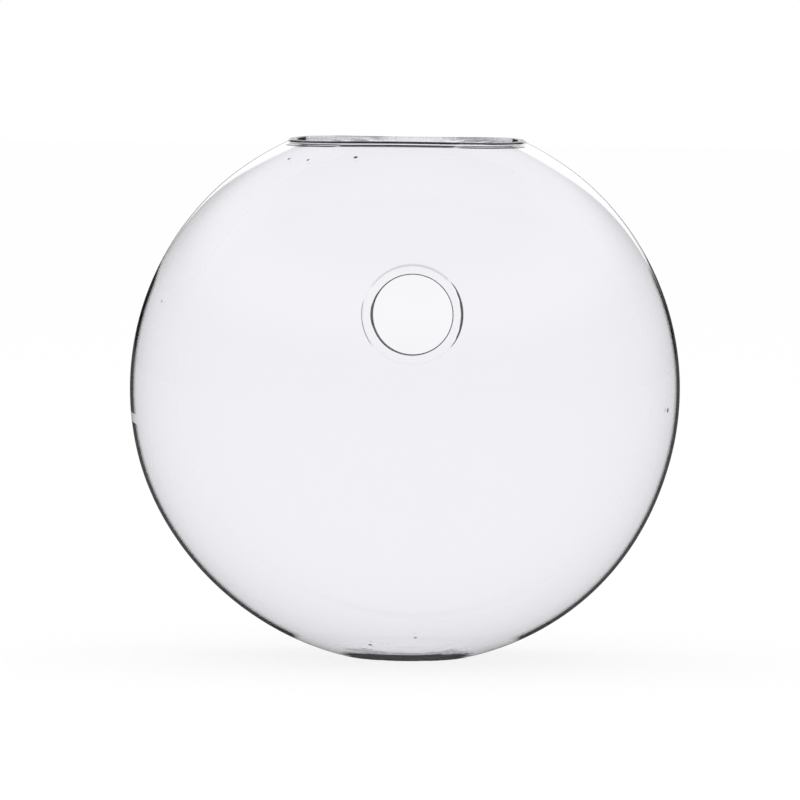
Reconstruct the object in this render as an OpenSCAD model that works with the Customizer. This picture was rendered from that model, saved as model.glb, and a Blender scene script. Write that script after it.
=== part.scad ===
// Wall vase blown from clear glass as one piece. It is a globe with a flat
// pressed on its back and a small one under it, a round mouth on top with a
// fire-polished rim, and a lipped hole in the back to hang it by.
// +Z is up and -Y is the front. The foot stands on Z = 0, and the origin is
// under the middle of the vase's width and depth.

/* [Globe] */
// Outer diameter of the blown globe
globe_d = 100; // [90:1:120]
// Thickness of the blown wall
wall = 1; // [0.8:0.1:1.3]

/* [Mouth] */
// Diameter of the mouth along the middle of its rim
mouth_d = 41.8; // [34:0.2:50]
// Thickness of the round bead that the flame leaves on the rim
rim_bead = 1.4; // [1.4:0.1:2]

/* [Flat back] */
// Radius of the soft edge between the flat back and the globe
back_edge = 3; // [2:0.5:5]
// Plain globe left between the rim's bead and the soft edge behind it
rim_to_edge = 0.8; // [0.5:0.1:4]

/* [Foot] */
// Diameter of the flat foot
foot_d = 20; // [14:1:28]
// Thickness of the glass over the foot
floor_t = 1.8; // [1.4:0.1:3]

/* [Hanging hole] */
// Clear diameter of the hole
hole_d = 14.8; // [10:0.2:18]
// Height of the hole's centre above the globe's centre
hole_rise = 12.5; // [6:0.5:16]
// Width of the lip round the hole, seen from the front
lip_w = 1.95; // [1.6:0.05:2.6]
// How far the lip stands into the vase from the face of the back
lip_t = 1.85; // [1.7:0.05:2.4]

/* [Hidden] */
$fn = 180;

globe_r = globe_d / 2;
// Straight land that the bore leaves on the lip's round section
lip_trim = 0.15;
// Room past a face, so that a cutting solid leaves no skin
past = 1;

// The rim's bead lies on the middle of the wall
mid_r = globe_r - wall / 2;
rim_r = mouth_d / 2;
rim_z = sqrt(mid_r ^ 2 - rim_r ^ 2);

// The soft edge starts on the globe at the same depth all round, just behind
// the rim, and its centre circle is the same for both faces of the wall
edge_start = rim_r + rim_bead / 2 + rim_to_edge;
edge_y = edge_start * (globe_r - back_edge) / globe_r;
edge_r = sqrt((globe_r - back_edge) ^ 2 - edge_y ^ 2);
back_y = edge_y + back_edge;

// Heights of the foot and of the floor inside, below the globe's centre
foot_z = sqrt(globe_r ^ 2 - (foot_d / 2) ^ 2);
floor_z = foot_z - floor_t;

// The lip is a round roll, cut flush with the back and trimmed by the bore
hole_r = hole_d / 2;
lip_r = (lip_w + lip_trim) / 2;
lip_ring = hole_r + lip_w - lip_r;

// The globe's centre, with the foot on Z = 0 and the depth centred on Y = 0
centre_y = (globe_r - back_y) / 2;
glass = [0.82, 0.86, 0.9, 0.45];

// Turns a shape drawn round Z so that its top faces the back
module facing_back() {
    rotate([-90, 0, 0]) children();
}

// Half the outline of a face of the wall, this far inside the globe's outer
// face: the globe's arc, the soft edge's arc and the straight of the back
module half_outline(inset) {
    r = globe_r - inset;
    edge_start_x = edge_r * globe_r / (globe_r - back_edge);
    reach = 2;
    intersection() {
        circle(r);
        polygon([
            [0, -reach * globe_r],
            [reach * globe_r, -reach * globe_r],
            [reach * edge_start_x, reach * edge_start],
            [0, 0]
        ]);
    }
    translate([edge_r, edge_y]) circle(back_edge - inset);
    polygon([
        [0, 0],
        [edge_r, edge_y],
        [edge_r, back_y - inset],
        [0, back_y - inset]
    ]);
}

// The solid inside one face of the wall, closed all round
module pressed_globe(inset) {
    facing_back() rotate_extrude() half_outline(inset);
}

// Everything below this depth under the globe's centre
module below(depth) {
    translate([-globe_r - past, -globe_r - past, -globe_r - past])
        cube([globe_d + 2 * past, globe_d + 2 * past, globe_r + past - depth]);
}

// Cone from the globe's centre, which cuts the mouth square to the wall
module mouth_cut() {
    cone_h = globe_r + past;
    cylinder(h = cone_h, r1 = 0, r2 = cone_h * rim_r / rim_z);
}

// Round rod along the hanging hole, through the back only
module hole_cut(r) {
    translate([0, 0, hole_rise]) facing_back()
        translate([0, 0, back_y - lip_t - past]) cylinder(h = lip_t + 2 * past, r = r);
}

module blown_wall() {
    difference() {
        pressed_globe(0);
        below(foot_z);
        difference() {
            pressed_globe(wall);
            below(floor_z);
        }
        mouth_cut();
        hole_cut(lip_ring);
    }
}

module rim() {
    rotate_extrude() translate([rim_r, rim_z]) circle(d = rim_bead);
}

// The roll is cut flush with the back, so that the vase lies flat on a wall
module hole_lip() {
    translate([0, 0, hole_rise]) facing_back() difference() {
        rotate_extrude() translate([lip_ring, back_y - lip_t + lip_r]) circle(lip_r);
        translate([0, 0, back_y])
            cylinder(h = 2 * lip_r, r = lip_ring + 2 * lip_r);
    }
}

module glass_vase() {
    color(glass) translate([0, centre_y, foot_z]) difference() {
        union() {
            blown_wall();
            rim();
            hole_lip();
        }
        hole_cut(hole_r);
    }
}

glass_vase();
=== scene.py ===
import bpy
import numpy as np
from mathutils import Matrix, Vector


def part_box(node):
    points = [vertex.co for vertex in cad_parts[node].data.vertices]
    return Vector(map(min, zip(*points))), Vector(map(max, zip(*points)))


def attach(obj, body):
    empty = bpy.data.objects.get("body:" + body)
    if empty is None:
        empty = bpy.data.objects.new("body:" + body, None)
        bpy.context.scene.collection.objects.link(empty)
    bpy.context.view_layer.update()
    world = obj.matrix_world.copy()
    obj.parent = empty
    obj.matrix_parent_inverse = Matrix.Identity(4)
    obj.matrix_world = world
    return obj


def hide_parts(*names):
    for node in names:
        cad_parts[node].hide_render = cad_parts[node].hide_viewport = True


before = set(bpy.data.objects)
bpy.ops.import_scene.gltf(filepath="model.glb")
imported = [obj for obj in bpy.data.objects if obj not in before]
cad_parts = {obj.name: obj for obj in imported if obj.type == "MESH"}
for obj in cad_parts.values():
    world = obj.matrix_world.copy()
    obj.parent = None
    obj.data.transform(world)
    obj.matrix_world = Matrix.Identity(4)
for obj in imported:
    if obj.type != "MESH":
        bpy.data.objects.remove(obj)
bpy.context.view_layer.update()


# The vase. It is one piece of clear glass, blown as a globe and pressed flat at
# the back and under it while hot. The mouth was cut open and its rim melted
# round, and a roll of glass lines the hanging hole that was punched in the back.
mm = 0.001
vase_low, vase_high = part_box("glass_vase")
globe_r = min(-vase_low.x, vase_high.x)
wall = 1.0 * mm
bead_r = 0.7 * mm
mouth_r = 20.9 * mm
edge_soft = 3.0 * mm
rim_to_edge = 0.8 * mm
foot_r = 10.0 * mm
floor_t = 1.8 * mm
hole_r = 7.4 * mm
hole_up = 12.5 * mm
roll_wide = 1.95 * mm
roll_deep = 1.85 * mm
roll_trim = 0.15 * mm

# The globe's middle, and the sizes that follow from the ones above
foot_drop = (globe_r**2 - foot_r**2) ** 0.5
globe_mid = np.array([0.0, vase_low.y + globe_r, foot_drop])
back_y = vase_high.y - globe_mid[1]
skin_r = globe_r - wall / 2
mouth_tilt = np.arcsin(mouth_r / skin_r)
edge_start = mouth_r + bead_r + rim_to_edge
edge_y = edge_start * (globe_r - edge_soft) / globe_r
edge_ring = ((globe_r - edge_soft) ** 2 - edge_y**2) ** 0.5
edge_tilt = np.arctan2(edge_ring, edge_y)
roll_r = (roll_wide + roll_trim) / 2
roll_ring = hole_r + roll_wide - roll_r
roll_in = roll_deep - roll_r

# Rows of the grid: from the mouth over the globe, the soft edge and the flat
# back to the hole's roll, as many again on the inner face, and a cap round the
# bead and round the roll. A few of the roll's rows go round its corner.
columns = 256
globe_rows, edge_rows, flat_rows, cap_rows, corner_rows = 112, 12, 44, 14, 4


def soft_min(a, b, soft):
    """The smaller of a and b, less a quarter of soft times the square of how
    nearly they agree, so that the corner between them is rounded."""
    near = np.maximum(soft - np.abs(a - b), 0) / soft
    return np.minimum(a, b) - soft / 4 * near**2


def soft_max(a, b, soft):
    """The larger of a and b, with the corner between them filled in."""
    return -soft_min(-a, -b, soft)


def rise(value, start, end):
    """0 below start, 1 above end, and an S-shaped curve between them."""
    part = np.clip((value - start) / (end - start), 0, 1)
    return part * part * (3 - 2 * part)


def band(value, start, end, soft):
    """1 from start to end, with an S-shaped curve as wide as soft at each end."""
    return rise(value, start - soft, start) * (1 - rise(value, end, end + soft))


def bell(value, middle, width):
    """1 at the middle, and e to the minus square of the widths away from it."""
    return np.exp(-(((value - middle) / width) ** 2))


def ring_family():
    """The two fixed points of the family of circles that holds both the mouth
    and the soft edge, on a plane onto which the globe is drawn from its foot.

    The mouth is a circle about the plane's middle and the edge is one whose
    middle lies off it. The points are the two roots t of t^2 - S t + m^2 = 0,
    with S = (m^2 + c^2 - r^2) / c. Each circle of the family keeps one ratio
    exp(q) between its distances to the two points.
    """
    mouth = np.tan(mouth_tilt / 2)
    near = np.tan((np.pi / 2 - edge_tilt) / 2)
    far = np.tan((np.pi / 2 + edge_tilt) / 2)
    middle, reach = (near + far) / 2, (far - near) / 2
    total = (mouth**2 + middle**2 - reach**2) / middle
    gap = (total**2 - 4 * mouth**2) ** 0.5
    first, second = (total - gap) / 2, (total + gap) / 2
    at_mouth = np.log((mouth + first) / (mouth + second))
    at_edge = np.log((far - first) / (far - second))
    return first, second, at_mouth, at_edge


def globe_ray(q, turn):
    """Unit rays from the globe's middle to circle q of the family, at the
    place where its two fixed points are seen turn apart."""
    ratio = np.exp(q + 1j * turn)
    over, under = 1j * (near_point - ratio * far_point), 1 - ratio
    cross = 2 * over * np.conj(under)
    size = np.abs(over) ** 2 + np.abs(under) ** 2
    up = (np.abs(under) ** 2 - np.abs(over) ** 2) / size
    return np.stack([cross.real / size, cross.imag / size, up], -1)


def path_steps(length, count, fine, growth):
    """Distances from the start of each path, one row a step. A step is growth
    times the one before, from fine up to a cap, and each path has the cap
    with which count steps add up to its length."""
    growing = fine * growth ** np.arange(count)
    caps = np.geomspace(fine / 50, length.max(), 600)
    totals = np.minimum(growing, caps[:, None]).sum(1)
    cap = np.interp(length, totals, caps)
    steps = np.minimum(growing[:, None], cap)
    return np.concatenate([np.zeros((1, length.size)), np.cumsum(steps, 0)])


def bead_half(distance):
    """Half the glass at this distance from the middle of the mouth's bead: the
    bead's round section, run smoothly into half the wall."""
    round_part = np.sqrt(np.maximum(bead_r**2 - distance**2, 0))
    return soft_max(round_part, wall / 2 + 0 * distance, 0.12 * mm)


def roll_depth(distance):
    """Depth of the glass behind the flat back at this distance from the
    middle of the hole's roll: the roll's round section, filleted into the wall."""
    round_part = roll_in + np.sqrt(np.maximum(roll_r**2 - distance**2, 0))
    round_part = np.where(distance < roll_r, round_part, 0)
    return soft_max(round_part, wall + 0 * distance, 0.3 * mm)


def from_bead(rays):
    """Distance along the wall from the middle of the mouth's bead: the angle
    between the ray and the mouth's own, times the middle of the wall's radius."""
    return skin_r * (np.arccos(np.clip(rays[..., 2], -1, 1)) - mouth_tilt)


def globe_face(rays, side):
    """The round of the globe, its outer face for side 1 and its inner for -1:
    along each ray as far as the globe or the pressed foot, whichever is
    nearer, with the bead's half thickness on either side at the mouth."""
    reach = skin_r + side * bead_half(np.maximum(from_bead(rays), 0))
    flat = foot_drop if side > 0 else foot_drop - floor_t
    down = np.maximum(-rays[..., 2], 0.05)
    return rays * soft_min(reach, flat / down, 0.15 * mm)[..., None]


def spokes():
    """Straight lines on the flat back, one a column, from the hole's middle to
    the soft edge: each line's run right and up, its length, and how far its
    rows lie outside the middle of the roll, beginning at the edge."""
    start = edge_ring * np.stack([np.cos(edge_turn), np.sin(edge_turn)], -1)
    spoke = start - [0, hole_up]
    length = np.linalg.norm(spoke, axis=-1)
    along = path_steps(length - roll_ring, flat_rows, 0.08 * mm, 1.08)
    return spoke, length, along[-2::-1]


def back_face(inner):
    """The soft edge and the flat back, on the outer face or the inner.

    The edge is a quarter turn less the globe's own tilt, of one radius about
    one ring. From there straight lines run to the middle of the hole's roll.
    """
    inset = wall if inner else 0
    tilt = np.linspace(edge_tilt, 0, edge_rows + 1)[1:, None]
    out = edge_ring + (edge_soft - inset) * np.sin(tilt)
    depth = edge_y + (edge_soft - inset) * np.cos(tilt) + 0 * edge_turn
    edge = np.stack([out * np.cos(edge_turn), depth, out * np.sin(edge_turn)], -1)

    spoke, length, along = spokes()
    flat = [0, hole_up] + spoke * ((roll_ring + along) / length)[..., None]
    sunk = roll_depth(along) if inner else 0 * along
    flat = np.stack([flat[..., 0], back_y - sunk, flat[..., 1]], -1)
    return np.concatenate([edge, flat])


def mouth_cap():
    """The half of the mouth's bead that faces the opening, from the inner face
    round to the outer: a half circle across the rim at each column."""
    ray = globe_ray(at_mouth, turns)
    away = np.stack([ray[..., 0], ray[..., 1], 0 * turns], -1) / np.tan(mouth_tilt)
    away[..., 2] = -np.sin(mouth_tilt)
    half = bead_half(np.zeros(1))[0]
    angle = np.linspace(-np.pi / 2, -3 * np.pi / 2, cap_rows + 2)[1:-1, None, None]
    return skin_r * ray + bead_r * np.cos(angle) * away + half * np.sin(angle) * ray


def roll_cap():
    """The part of the hole's roll that faces the bore, from the outer face to
    the inner: flat and flush with the back, round a corner, straight along
    the bore, and round the roll to its deepest."""
    bore = np.arcsin((roll_ring - hole_r) / roll_r)
    flush = np.arcsin(roll_in / roll_r)
    corner = np.linspace(flush, np.pi / 2 - bore, corner_rows)
    rest = np.linspace(bore - np.pi / 2, -np.pi / 2, cap_rows - corner_rows - 1)[:-1]
    angle = np.concatenate([corner, rest])
    on_flat = 0.35 * mm
    inwards = np.concatenate([[on_flat], roll_r * np.cos(angle)])
    sunk = np.concatenate([[0], roll_in - roll_r * np.sin(angle)])
    out = (roll_ring - inwards)[:, None]
    spoke = spokes()[0]
    around = np.arctan2(spoke[:, 1], spoke[:, 0])
    depth = (back_y - sunk)[:, None] + 0 * around
    return np.stack([out * np.cos(around), depth, hole_up + out * np.sin(around)], -1)


def hand_made(points):
    """The slight unevenness of a globe that was turned by hand. The lower part
    leans to the right, and the rim rises and falls three times round."""
    x, y, z = np.moveaxis(points / globe_r, -1, 0)
    lean = 0.8 * mm * rise(-z, 0.25, 0.95)
    around = np.arctan2(y, x)
    wave = 0.14 * mm * (np.sin(3 * around) - 1) - 0.1 * mm * (1 - np.sin(around))
    moved = points.copy()
    moved[..., 0] += lean
    moved[..., 2] += wave * bell(np.minimum(z, 0.9), 0.9, 0.12)
    return moved


def grid_mesh(name, points):
    """A mesh of one closed grid whose rows and columns both run round to
    where they began. Each cell is a four-sided face."""
    rows, across = points.shape[:2]
    index = np.arange(rows * across).reshape(rows, across)
    right = np.roll(index, -1, 1)
    cells = np.stack([index, np.roll(index, -1, 0), np.roll(right, -1, 0), right], -1)
    corners = cells.reshape(-1).astype(np.int32)
    made = bpy.data.meshes.new(name)
    made.vertices.add(index.size)
    made.vertices.foreach_set("co", points.reshape(-1).astype(np.float32))
    made.loops.add(corners.size)
    made.loops.foreach_set("vertex_index", corners)
    made.polygons.add(index.size)
    made.polygons.foreach_set("loop_start", np.arange(0, corners.size, 4, dtype=np.int32))
    made.polygons.foreach_set("use_smooth", np.ones(index.size, dtype=bool))
    made.update(calc_edges=True)
    made.validate()
    return made


# Columns are even along a circle well down the globe
near_point, far_point, at_mouth, at_edge = ring_family()
fine_turn = 0.01 * np.sinh(np.linspace(-1, 1, 40001) * np.arcsinh(np.pi / 0.01))
guide = globe_ray(at_mouth + 0.8 * (at_edge - at_mouth), fine_turn)
step = np.linalg.norm(np.diff(guide, axis=0), axis=1)
walked = np.concatenate([[0], np.cumsum(step)])
turns = np.interp(np.arange(columns) / columns * walked[-1], walked, fine_turn)

# Rows are spaced by their distance along each column
fine_q = np.linspace(at_mouth, at_edge, 1201)
strands = globe_ray(fine_q[:, None], turns)
step = np.linalg.norm(np.diff(strands, axis=0), axis=2) * skin_r
walked = np.concatenate([np.zeros((1, columns)), np.cumsum(step, 0)])
wanted = path_steps(walked[-1], globe_rows, 0.06 * mm, 1.12)
order = np.arange(columns)
share = (order + 0.999999 * np.clip(wanted / walked[-1], 0, 1)).T.reshape(-1)
known = (order + 0.999999 * walked / walked[-1]).T.reshape(-1)
row_q = np.interp(share, known, np.tile(fine_q, columns)).reshape(columns, -1).T
rays = globe_ray(row_q, turns)
rays[-1] = globe_ray(at_edge, turns)
edge_turn = np.arctan2(rays[-1, :, 2], rays[-1, :, 0])

outer = np.concatenate([globe_face(rays, 1), back_face(False)])
inner = np.concatenate([globe_face(rays, -1), back_face(True)])
roll = roll_cap()
loop = np.concatenate([outer, roll, inner[::-1], mouth_cap()])
vase_mesh = grid_mesh("vase_glass", hand_made(loop) + globe_mid)
vase = bpy.data.objects.new("vase_glass", vase_mesh)
bpy.context.scene.collection.objects.link(vase)
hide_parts("glass_vase")
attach(vase, "root")


# The same glass, with painted shade: dark lines are painted along the outline,
# the rim and the roll round the hole, for the dark edges that bent light shows
# from the front. How dark each place is painted is worked out here and kept in the mesh.
to_front = [0.058, -0.997, 0.052]
# The outline is painted less dark on the upper shoulders: painted light where the light from above
# falls
shoulder_painted_shade = -0.4
shoulder_low, shoulder_high = 20, 34


def front_turn():
    """How far each place of the grid is turned from the front: one less the
    size of the surface normal's part along the way to the front."""
    normal = np.empty(3 * len(vase_mesh.vertices), np.float32)
    vase_mesh.vertex_normals.foreach_get("vector", normal)
    return 1 - np.abs(normal.reshape(-1, columns, 3) @ to_front)


def painted_dark_line(strength, turn):
    """The painted shade that makes a place as dark, seen from the front, as this
    painted line is strong: 0.7 and a fifth of the strength, less the turn from the front."""
    return 0.7 + 0.2 * strength - turn


def near_angle(around, middle, full, gone):
    """1 within full degrees of the middle on the way round the hole, 0 beyond
    gone, and an S-shaped curve between them."""
    apart = np.abs((around - middle + 180) % 360 - 180)
    return 1 - rise(apart, full, gone)


def round_rim(rays):
    """What changes on the way round the rim: how far right a place lies, from
    -1 to 1; 1 on the front half, a rise over its share to the front; 1 at the
    two ends, a bell over the angle from them; and the first line's strength."""
    across = np.hypot(rays[..., 0], rays[..., 1])
    right = rays[..., 0] / across
    front_half = rise(-rays[..., 1] / across, 0.0, 0.25)
    ends = bell(np.degrees(np.arccos(np.abs(right))), 2, 12)
    first_line = 1 - 0.33 * band(right, 0.5, 0.68, 0.1)
    return right, front_half, ends, first_line


def rim_lines(right, first_line, out):
    """Strength of the two painted dark lines along the front of the rim, painted
    shade, at this many millimetres out from the bead's middle.

    The first runs along the bead. The second is a pair of bands, from a start
    to an end with a strength each, which lie closer together at the left and
    at the right than in the middle. Each place takes the darker line.
    """
    pairs = [
        (band(right, -0.45, 0.38, 0.15), (0.85, 1.2, 1.0), (1.3, 1.8, 0.62)),
        (1 - rise(right, -0.6, -0.45), (0.72, 1.05, 1.2), (1.36, 1.7, 1.3)),
        (rise(right, 0.38, 0.55), (0.8, 1.15, 0.9), (1.46, 1.8, 1.3)),
    ]
    second = 0 * right
    for part, *bands in pairs:
        pair = sum(strength * band(out, start, end, 0.1) for start, end, strength in bands)
        second = np.maximum(second, part * pair)
    second = second * (1 - rise(np.abs(right), 0.93, 0.98))
    first = first_line * (1 - 0.4 * rise(np.abs(right), 0.86, 0.96))
    return np.maximum(first * (1 - rise(out, 0.42, 0.56)), second)


def globe_painted_shade(turn):
    """Painted shade on the outer face of the globe: the rim's painted dark lines on
    the front near the mouth, less than none on the shoulders, where the outline
    is painted lighter, and 0 from there down."""
    right, front_half, ends, first_line = round_rim(rays)
    out = from_bead(rays) / mm
    left, high = -rays[..., 0] * globe_r / mm, rays[..., 2] * globe_r / mm
    by_rim = front_half * (1 - rise(out, 2.2, 2.8))
    sooner = 2 * rise(left, 0, 20)
    shoulder = shoulder_painted_shade * rise(high + sooner, shoulder_low, shoulder_high)
    line = painted_dark_line(rim_lines(right, first_line, out), turn)
    painted_shade = by_rim * line + (1 - by_rim) * shoulder

    # The bead is painted dark where it is seen end on, and the painted dark outline is taken away
    # by the foot
    tips = ends * (1 - rise(out, 0.4, 0.7))
    return painted_shade * (1 - tips) + 0.5 * tips - 0.3 * rise(-high, 44, 47)


def hollow_painted_shade(turn):
    """Painted shade on the inner face of the flat back: painted dark lines in the
    hollow round the hole's roll, and -1 outside it, where nothing is painted dark.

    Each line is a band from a start to an end, in millimetres out from the
    roll's middle, times its strength. It fades round the hole from a middle,
    in degrees from the right. Each place takes the darkest.
    """
    spoke, _, along = spokes()
    out = along / mm
    around = np.degrees(np.arctan2(spoke[:, 1], spoke[:, 0]))
    narrower = 0.3 * rise(np.abs(around), 5, 45)
    at_right = 1.3 * band(out, 0.72 + narrower, 1.1, 0.1) * near_angle(around, 0, 30, 52)
    at_left = 1.05 * band(out, 1.17, 1.28, 0.09) * near_angle(around, 191, 18, 42)
    on_top = 0.52 * band(out, 0.7, 1.25, 0.3) * near_angle(around, 95, 45, 75)
    line = painted_dark_line(np.maximum(np.maximum(at_right, at_left), on_top), turn)
    near_roll = 1 - rise(out, 2.0, 3.0)
    return near_roll * line - (1 - near_roll)


def roll_painted_shade(turn):
    """Painted shade on the roll where it faces the bore: 0.2 on its flat, its corner
    and the bore, and then a painted dark line from the bore to a start, in
    millimetres inwards from the roll's middle. The line is wider at the left and the lower left."""
    spoke = spokes()[0]
    around = np.degrees(np.arctan2(spoke[:, 1], spoke[:, 0]))
    inwards = (roll_ring - np.hypot(roll[..., 0], roll[..., 2] - hole_up)) / mm
    at_left = bell(180 - np.abs(around), 0, 30)
    low_left = bell(around, -128, 25)
    start = 0.7 - 0.24 * at_left - 0.09 * low_left
    painted_shade = painted_dark_line(rise(inwards, start - 0.06, start + 0.06), turn)
    painted_shade[:corner_rows + 2] = 0.2
    return painted_shade


def bead_painted_shade(turn):
    """Painted shade on the bead where it faces the opening: the first painted dark
    line where the front of the rim turns outwards, 0.3 elsewhere, less where the
    far side is clear, and painted dark at both ends."""
    right, front_half, ends, first_line = round_rim(rays[0])
    row = np.arange(cap_rows)[:, None]
    outer_side = rise(row, cap_rows - 6, cap_rows - 4)
    far = 0.3 - 0.3 * band(np.abs(right), 0.72, 0.9, 0.06) - 0.15 * band(right, -0.2, 0.7, 0.1)
    front = painted_dark_line(first_line, turn) * outer_side + far * (1 - outer_side)
    return front_half * front + (1 - front_half) * far + 0.6 * ends


# The painted shade, in the order of the grid's rows: the outer face, the roll,
# the inner face from the roll back to the rim, and the bead
turn = front_turn()
face_rows = len(outer)
inner_turn = turn[face_rows + len(roll):-cap_rows][::-1]
# The soft edge's outline is painted less dark high up, as on the shoulders: painted light
edge_high = edge_ring / mm * np.sin(edge_turn)
edge_painted_shade = shoulder_painted_shade * rise(edge_high, shoulder_low, shoulder_high)
painted_shade = np.concatenate([
    globe_painted_shade(turn[:len(rays)]),
    np.tile(edge_painted_shade, (edge_rows, 1)),
    np.zeros((flat_rows, columns)),
    roll_painted_shade(turn[face_rows:face_rows + len(roll)]),
    hollow_painted_shade(inner_turn[-flat_rows:])[::-1],
    -np.ones((face_rows - flat_rows, columns)),
    bead_painted_shade(turn[-cap_rows:]),
])
kept_painted_shade = vase_mesh.attributes.new("painted_shade", "FLOAT", "POINT")
kept_painted_shade.data.foreach_set("value", painted_shade.astype(np.float32).reshape(-1))


# The finish is fire-polished and smooth, with the slow waves that blowing
# leaves. A faint grey-lavender shows where light runs a long way in the glass.
glass = bpy.data.materials.new("clear_blown_glass")
glass.use_nodes = True
tree = glass.node_tree
tree.nodes.clear()


class Signal:
    """A shader socket on which Python's operators work. Each one adds its Math
    node to the tree that the socket belongs to."""

    def __init__(self, socket):
        self.socket = socket

    @staticmethod
    def node(tree, kind, settings=None, *values, **named):
        """Adds a node of this kind to the tree, sets its settings first, and
        then gives its sockets their values or links, in their order or by name.
        Returns its outputs by name."""
        made = tree.nodes.new(kind)
        for key, value in (settings or {}).items():
            setattr(made, key, value)
        in_use = [place for place in made.inputs if place.enabled]
        given = list(zip(in_use, values))
        given += [(made.inputs[key.replace("_", " ")], value) for key, value in named.items()]
        for place, value in given:
            if isinstance(value, Signal):
                tree.links.new(value.socket, place)
            else:
                place.default_value = value
        return {out.name: Signal(out) for out in made.outputs if out.enabled}

    def math(self, operation, *values):
        """What this Math operation makes of the values."""
        tree = self.socket.id_data
        return self.node(tree, "ShaderNodeMath", {"operation": operation}, *values)["Value"]

    def rise(self, start, end, low=0.0, high=1.0):
        """low below start, high above end, and an S-shaped curve between them."""
        smooth = {"interpolation_type": "SMOOTHSTEP"}
        tree = self.socket.id_data
        return self.node(tree, "ShaderNodeMapRange", smooth, self, start, end, low, high)["Result"]

    def most(self, other):
        """The larger of the two."""
        return self.math("MAXIMUM", self, other)

    def __abs__(self):
        return self.math("ABSOLUTE", self)

    def __add__(self, other):
        return self.math("ADD", self, other)

    def __sub__(self, other):
        return self.math("SUBTRACT", self, other)

    def __rsub__(self, other):
        return self.math("SUBTRACT", other, self)

    def __mul__(self, other):
        return self.math("MULTIPLY", self, other)

    def __truediv__(self, other):
        return self.math("DIVIDE", self, other)

    def __pow__(self, other):
        return self.math("POWER", self, other)

    __radd__ = __add__
    __rmul__ = __mul__


place = Signal.node(tree, "ShaderNodeTexCoord")["Object"]
waves = Signal.node(tree, "ShaderNodeTexNoise", Vector=place, Scale=45.0, Detail=1.0)["Fac"]
relief = Signal.node(tree, "ShaderNodeBump", Height=waves, Strength=0.05, Distance=0.001)["Normal"]

# A place is painted dark where its turn from the eye and its own painted shade
# come to 0.8, but not in the short glint across the left outline, a painted highlight
facing = Signal.node(tree, "ShaderNodeLayerWeight", Blend=0.5)["Facing"]
painted_shade_here = Signal.node(tree, "ShaderNodeAttribute", {"attribute_name": "painted_shade"})["Fac"]
where = Signal.node(tree, "ShaderNodeSeparateXYZ", Vector=place)
# The glint is a painted highlight: a short band across the left outline where the painted dark is
# taken away
glint_z = float(globe_mid[2]) - 5.5 * mm
off_glint = where["Z"] - glint_z + (where["X"] + 48 * mm) * 0.15
glint = abs(off_glint).rise(0.6 * mm, 0.9 * mm, 0.6, 0.0)
at_left = where["X"].rise(-47 * mm, -44 * mm, 1.0, 0.0)
painted_dark_mask = (facing + painted_shade_here - glint * at_left).rise(0.78, 0.86)

# Seeds, the small bubbles left in the melt, are painted as dark specks in the
# front of the globe, painted shade for the light that they bend away: each one's
# place right of the globe's middle and above it, and its size
seeds = [
    (-4.6, -45.1, 0.45), (3.7, -43.3, 0.45), (16.7, -43.0, 0.35),
    (21.4, -40.3, 0.4), (48.0, -2.7, 0.6), (-42.6, 16.1, 0.35),
    (-20.3, 42.0, 0.4), (-16.6, 41.9, 0.35), (-7.8, 42.5, 0.45),
]
seed_depth = 0.2
for seed_x, seed_z, size in seeds:
    seed_y = -((globe_r / mm - seed_depth) ** 2 - seed_x**2 - seed_z**2) ** 0.5
    seed_at = globe_mid + np.array([seed_x, seed_y, seed_z]) * mm
    apart = Signal.node(tree, "ShaderNodeVectorMath", {"operation": "DISTANCE"}, place, seed_at)
    painted_dark_mask = painted_dark_mask.most(apart["Value"].rise(0.6 * size * mm, 1.1 * size * mm, 1.0, 0.0))

# The painted dark lines and specks take a near-black colour in place of the glass's own tint
clear_tint, painted_shade_tint = (0.957, 0.951, 0.975, 1.0), (0.001, 0.001, 0.001, 1.0)
tint = Signal.node(tree, "ShaderNodeMix", {"data_type": "RGBA"}, painted_dark_mask, clear_tint, painted_shade_tint)
shell = Signal.node(tree, "ShaderNodeBsdfPrincipled", Base_Color=tint["Result"], Roughness=0.0,
                    IOR=1.5, Transmission_Weight=1.0, Normal=relief)["BSDF"]

# Lamplight goes straight through, so that the vase throws only a soft shadow
lamplight = Signal.node(tree, "ShaderNodeLightPath")["Is Shadow Ray"]
shade = Signal.node(tree, "ShaderNodeBsdfTransparent", {}, (0.93, 0.93, 0.95, 1.0))["BSDF"]
surface = Signal.node(tree, "ShaderNodeMixShader", {}, lamplight, shell, shade)["Shader"]
lavender = (0.3, 0.2, 0.6, 1.0)
depth = Signal.node(tree, "ShaderNodeVolumeAbsorption", Color=lavender, Density=0.3)["Volume"]
Signal.node(tree, "ShaderNodeOutputMaterial", Surface=surface, Volume=depth)
vase.data.materials.append(glass)


# The floor is a wide plain white sweep. It shows its own white to the camera
# and through the glass, is dimmer where the glass mirrors it, and takes the
# vase's soft shadow from the lamp.
white, black = (1.0, 1.0, 1.0, 1.0), (0.0, 0.0, 0.0, 1.0)
floor_mesh = bpy.data.meshes.new("floor")
floor_mesh.from_pydata([(-4, -4, 0), (4, -4, 0), (4, 4, 0), (-4, 4, 0)], [], [(0, 1, 2, 3)])
floor = bpy.data.objects.new("floor", floor_mesh)
bpy.context.scene.collection.objects.link(floor)


def sight(tree):
    """1 for a ray that is seen, by the camera or through the glass, 1 for one
    that the glass mirrors, and 1 for light between matte faces."""
    path = Signal.node(tree, "ShaderNodeLightPath")
    through = path["Is Transmission Ray"]
    mirrored = path["Is Glossy Ray"] * (1 - through)
    return path["Is Camera Ray"] + through, mirrored, path["Is Diffuse Ray"]


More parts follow.
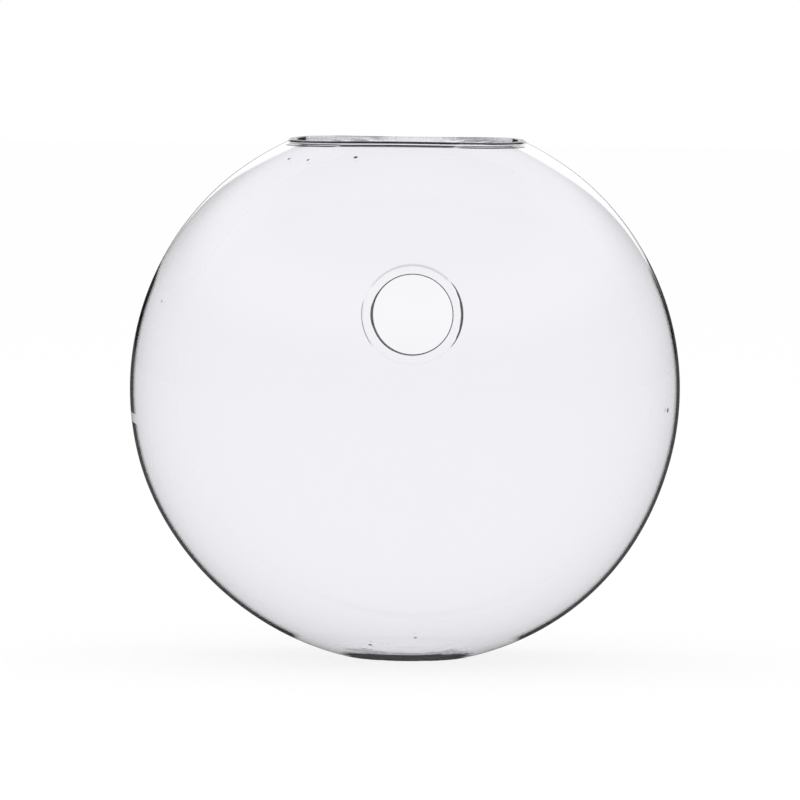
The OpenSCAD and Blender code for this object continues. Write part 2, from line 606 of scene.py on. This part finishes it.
paint = bpy.data.materials.new("white_floor")
paint.use_nodes = True
tree = paint.node_tree
tree.nodes.clear()
seen, mirrored, _ = sight(tree)
matte = Signal.node(tree, "ShaderNodeBsdfDiffuse", Color=(0.2, 0.2, 0.2, 1.0))["BSDF"]
glow = Signal.node(tree, "ShaderNodeEmission", Color=white, Strength=seen * 0.8)["Emission"]
sweep = Signal.node(tree, "ShaderNodeAddShader", {}, matte, glow)["Shader"]
unlit = Signal.node(tree, "ShaderNodeBsdfDiffuse", Color=black)["BSDF"]
dimmed = Signal.node(tree, "ShaderNodeMixShader", {}, mirrored * 0.55, sweep, unlit)["Shader"]
Signal.node(tree, "ShaderNodeOutputMaterial", Surface=dimmed)
floor_mesh.materials.append(paint)


# A white studio all round, which camera and glass see as plain white. What the
# glass mirrors is a bright white panel standing behind it and a soft light
# overhead, and little low down.
world = bpy.data.worlds.new("studio")
bpy.context.scene.world = world
world.use_nodes = True
tree = world.node_tree
tree.nodes.clear()
seen, mirrored, scattered = sight(tree)
way = Signal.node(tree, "ShaderNodeTexCoord")["Generated"]
part = Signal.node(tree, "ShaderNodeSeparateXYZ", Vector=way)
low_sky = part["Z"].rise(0.02, 0.12, 0.05, 1.1)

# The panel's outline is a square with round corners that widens upwards
sideways, upward = (part["X"] + 0.015) / (0.2 + 0.3 * part["Z"]), part["Z"] / 0.42
panel = (sideways**4 + upward**4).rise(0.75, 1.3, 1.0, 0.0) * part["Y"].rise(0.0, 0.3)
haze = part["Z"].rise(0.25, 0.55, 0.0, 0.55) * part["Z"].rise(0.65, 0.85, 1.0, 0.45)
studio_light = seen + mirrored * (low_sky * (panel + 0.05) + haze) + scattered * 0.95
sky = Signal.node(tree, "ShaderNodeBackground", Color=white, Strength=studio_light)["Background"]
Signal.node(tree, "ShaderNodeOutputWorld", Surface=sky)

lamp = bpy.data.lights.new("top_light", "AREA")
lamp.shape = "DISK"
lamp.size = 0.9
lamp.energy = 1.6
top_light = bpy.data.objects.new("top_light", lamp)
top_light.location = (-0.15, -0.1, 1.1)
top_light.visible_glossy = False
top_light.visible_transmission = False
bpy.context.scene.collection.objects.link(top_light)


# The camera stands well back with a long lens, a little right of the front and
# a little above, and leans by half a degree.
away = 1.6
across, above, lean = np.radians([3.3, 3.0, 0.55])
back = Vector((np.sin(across) * np.cos(above), -np.cos(across) * np.cos(above), np.sin(above)))
side = Vector((np.cos(across), np.sin(across), 0.0))
over = back.cross(side)
side, over = side * np.cos(lean) + over * np.sin(lean), over * np.cos(lean) - side * np.sin(lean)
lens = bpy.data.cameras.new("camera")
lens.lens = 396.0
lens.clip_start = 0.05
camera = bpy.data.objects.new("camera", lens)
aim = Vector(globe_mid) - side * 0.89 * mm - over * 2.13 * mm
turned = Matrix((side, over, back)).transposed().to_4x4()
camera.matrix_world = Matrix.Translation(aim + back * away) @ turned
bpy.context.scene.collection.objects.link(camera)
bpy.context.scene.camera = camera
bpy.context.scene.view_settings.view_transform = "Standard"
bpy.context.scene.cycles.max_bounces = 256
bpy.context.scene.cycles.glossy_bounces = 256
bpy.context.scene.cycles.transmission_bounces = 256
